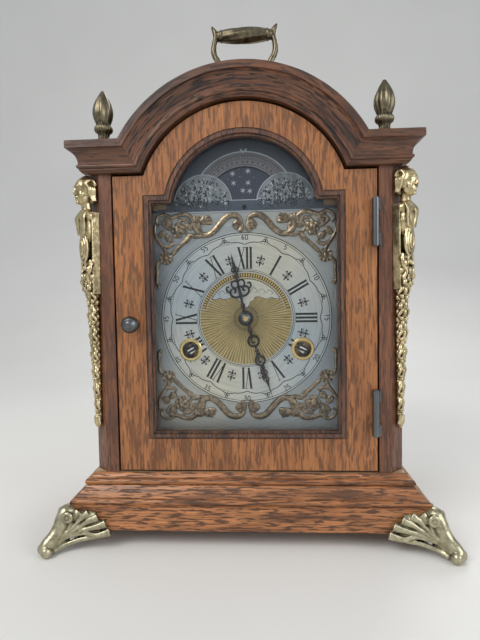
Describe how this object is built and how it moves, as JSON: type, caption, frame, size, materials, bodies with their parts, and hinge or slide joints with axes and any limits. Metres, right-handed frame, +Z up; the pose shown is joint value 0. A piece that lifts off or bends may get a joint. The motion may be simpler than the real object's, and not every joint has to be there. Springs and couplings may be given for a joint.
{
  "type": "bracket clock",
  "caption": "Bracket clock with an arched wooden case, glazed front door, moon dial, gilt corner figures, scroll feet and a swinging carrying handle on the roof.",
  "frame": {"origin": "middle of the foot print, on the table", "axes": "+X to the clock's right as seen from the front, +Y to the back, +Z up"},
  "size_m": [0.2532, 0.1668, 0.342],
  "materials": {
    "oak": "satin, open dark grain",
    "oak_dark": "satin, stained moulding",
    "inner_wood": "plain, unpolished",
    "gilt": "aged gilt casting",
    "antique": "dark antique brass",
    "brass": "brushed",
    "dial_brass": "matted gold",
    "silvered": "silvered, engraved",
    "blued_steel": "blackened steel",
    "steel": "bright steel",
    "dark_steel": "darkened steel",
    "glass": "clear",
    "moon_blue": "dark blue enamel",
    "bell_metal": "turned bell metal"
  },
  "bodies": {
    "case": {"base_moulding_front": "oak", "base_moulding_sides": "oak", "base_rails": "inner_wood", "base_board": "inner_wood", "crown_arch": "oak_dark", "crown_returns": "oak_dark", "corner_posts": "oak", "side_panels": "oak", "shoulder_boards": "oak", "head_board": "oak_dark", "barrel_roof": "oak", "back_frame": "oak", "dial_frame": "inner_wood", "front_hinge_case_leaves": "dark_steel", "front_hinge_pins": "dark_steel", "door_catch": "brass", "rear_hinge_case_leaves": "brass", "rear_hinge_pins": "brass", "dial_plate": "silvered", "chapter_ring": "silvered", "dial_center": "dial_brass", "winding_collets": "brass", "corner_ornaments": "antique", "movement_frame": "brass", "bells": "bell_metal", "handle_posts": "antique", "finials": "antique", "corner_figures": "gilt", "front_feet": "antique", "rear_feet": "antique"},
    "front_door": {"front_door_frame": "oak", "glazing_bead": "oak_dark", "door_glass": "glass", "glass_retainer": "brass", "door_knob": "dark_steel", "front_hinge_door_leaves": "dark_steel"},
    "rear_door": {"rear_door": "oak", "rear_door_knob": "brass", "rear_hinge_door_leaves": "brass"},
    "handle": {"handle": "antique"},
    "minute_train": {"minute_hand": "blued_steel", "hand_nut": "brass", "center_wheel": "brass"},
    "hour_train": {"hour_hand": "blued_steel", "hour_wheel": "brass"},
    "motion_wheel": {"minute_wheel": "brass"},
    "going_barrel": {"going_barrel": "brass"},
    "second_wheel": {"second_wheel": "brass"},
    "third_wheel": {"third_wheel": "brass"},
    "escape_wheel": {"escape_wheel": "brass"},
    "pallet_lever": {"pallet_lever": "steel"},
    "balance_wheel": {"balance_wheel": "brass"},
    "moon_disc": {"moon_disc": "moon_blue"},
    "strike_barrel": {"strike_barrel": "brass"},
    "pin_wheel": {"pin_wheel": "brass"},
    "warning_wheel": {"warning_wheel": "brass"},
    "fly": {"fly": "brass"},
    "hammer": {"hammer": "steel"},
    "going_winding": {"going_winding_arbor": "steel"},
    "strike_winding": {"strike_winding_arbor": "steel"}
  },
  "joints": [
    {"name": "front_door_hinge", "type": "hinge", "parent": "case", "child": "front_door", "pos_m": [0.0779, -0.05535, 0.137], "axis": [0, 0, 1], "range_deg": [0, 110]},
    {"name": "rear_door_hinge", "type": "hinge", "parent": "case", "child": "rear_door", "pos_m": [0.0635, 0.06785, 0.137], "axis": [0, 0, -1], "range_deg": [0, 110]},
    {"name": "handle_swing", "type": "hinge", "parent": "case", "child": "handle", "pos_m": [0, 0.00625, 0.2885], "axis": [1, 0, 0], "range_deg": [-85, 85]},
    {"name": "minute_arbor", "type": "hinge", "parent": "case", "child": "minute_train", "pos_m": [0, 0, 0.1372], "axis": [0, 1, 0], "continuous": true},
    {"name": "hour_pipe", "type": "hinge", "parent": "case", "child": "hour_train", "pos_m": [0, 0, 0.1372], "axis": [0, 1, 0], "continuous": true},
    {"name": "motion_arbor", "type": "hinge", "parent": "case", "child": "motion_wheel", "pos_m": [-0.00497, 0, 0.12356], "axis": [0, 1, 0], "continuous": true},
    {"name": "going_barrel_turn", "type": "hinge", "parent": "case", "child": "going_barrel", "pos_m": [0.0358, 0, 0.1174], "axis": [0, 1, 0], "continuous": true},
    {"name": "second_arbor", "type": "hinge", "parent": "case", "child": "second_wheel", "pos_m": [0.01869, 0, 0.13606], "axis": [0, 1, 0], "continuous": true},
    {"name": "third_arbor", "type": "hinge", "parent": "case", "child": "third_wheel", "pos_m": [0.00599, 0, 0.15366], "axis": [0, 1, 0], "continuous": true},
    {"name": "escape_arbor", "type": "hinge", "parent": "case", "child": "escape_wheel", "pos_m": [-0.0043, 0, 0.16593], "axis": [0, 1, 0], "continuous": true},
    {"name": "moon_arbor", "type": "hinge", "parent": "case", "child": "moon_disc", "pos_m": [0, 0, 0.2086], "axis": [0, 1, 0], "continuous": true},
    {"name": "lever_rock", "type": "hinge", "parent": "case", "child": "pallet_lever", "pos_m": [-0.0043, 0, 0.17594], "axis": [0, 1, 0], "range_deg": [-3, 3]},
    {"name": "balance_swing", "type": "hinge", "parent": "case", "child": "balance_wheel", "pos_m": [-0.0043, 0, 0.18643], "axis": [0, 1, 0], "range_deg": [-140, 140]},
    {"name": "strike_barrel_turn", "type": "hinge", "parent": "case", "child": "strike_barrel", "pos_m": [-0.0358, 0, 0.1174], "axis": [0, 1, 0], "continuous": true},
    {"name": "pin_arbor", "type": "hinge", "parent": "case", "child": "pin_wheel", "pos_m": [-0.03075, 0, 0.14221], "axis": [0, 1, 0], "continuous": true},
    {"name": "warning_arbor", "type": "hinge", "parent": "case", "child": "warning_wheel", "pos_m": [-0.02797, 0, 0.15829], "axis": [0, 1, 0], "continuous": true},
    {"name": "fly_arbor", "type": "hinge", "parent": "case", "child": "fly", "pos_m": [-0.02041, 0, 0.17139], "axis": [0, 1, 0], "continuous": true},
    {"name": "hammer_lift", "type": "hinge", "parent": "case", "child": "hammer", "pos_m": [-0.0312, 0, 0.1212], "axis": [0, 1, 0], "range_deg": [-25, 0], "stiffness_Nm_per_rad": 0.01, "springref_deg": 11.46},
    {"name": "going_winding_turn", "type": "hinge", "parent": "case", "child": "going_winding", "pos_m": [0.0358, 0, 0.1174], "axis": [0, 1, 0], "continuous": true},
    {"name": "strike_winding_turn", "type": "hinge", "parent": "case", "child": "strike_winding", "pos_m": [-0.0358, 0, 0.1174], "axis": [0, 1, 0], "continuous": true}
  ],
  "couplings": [
    {"joint": "motion_arbor", "follows": "minute_arbor", "ratio": -0.33333},
    {"joint": "hour_pipe", "follows": "minute_arbor", "ratio": 0.083333},
    {"joint": "second_arbor", "follows": "minute_arbor", "ratio": -0.19231},
    {"joint": "going_barrel_turn", "follows": "minute_arbor", "ratio": 0.032051},
    {"joint": "third_arbor", "follows": "minute_arbor", "ratio": -6.25},
    {"joint": "escape_arbor", "follows": "minute_arbor", "ratio": 35.156},
    {"joint": "moon_arbor", "follows": "minute_arbor", "ratio": 0.00070621},
    {"joint": "pin_arbor", "follows": "strike_barrel_turn", "ratio": -6},
    {"joint": "warning_arbor", "follows": "strike_barrel_turn", "ratio": 30},
    {"joint": "fly_arbor", "follows": "strike_barrel_turn", "ratio": -120}
  ]
}
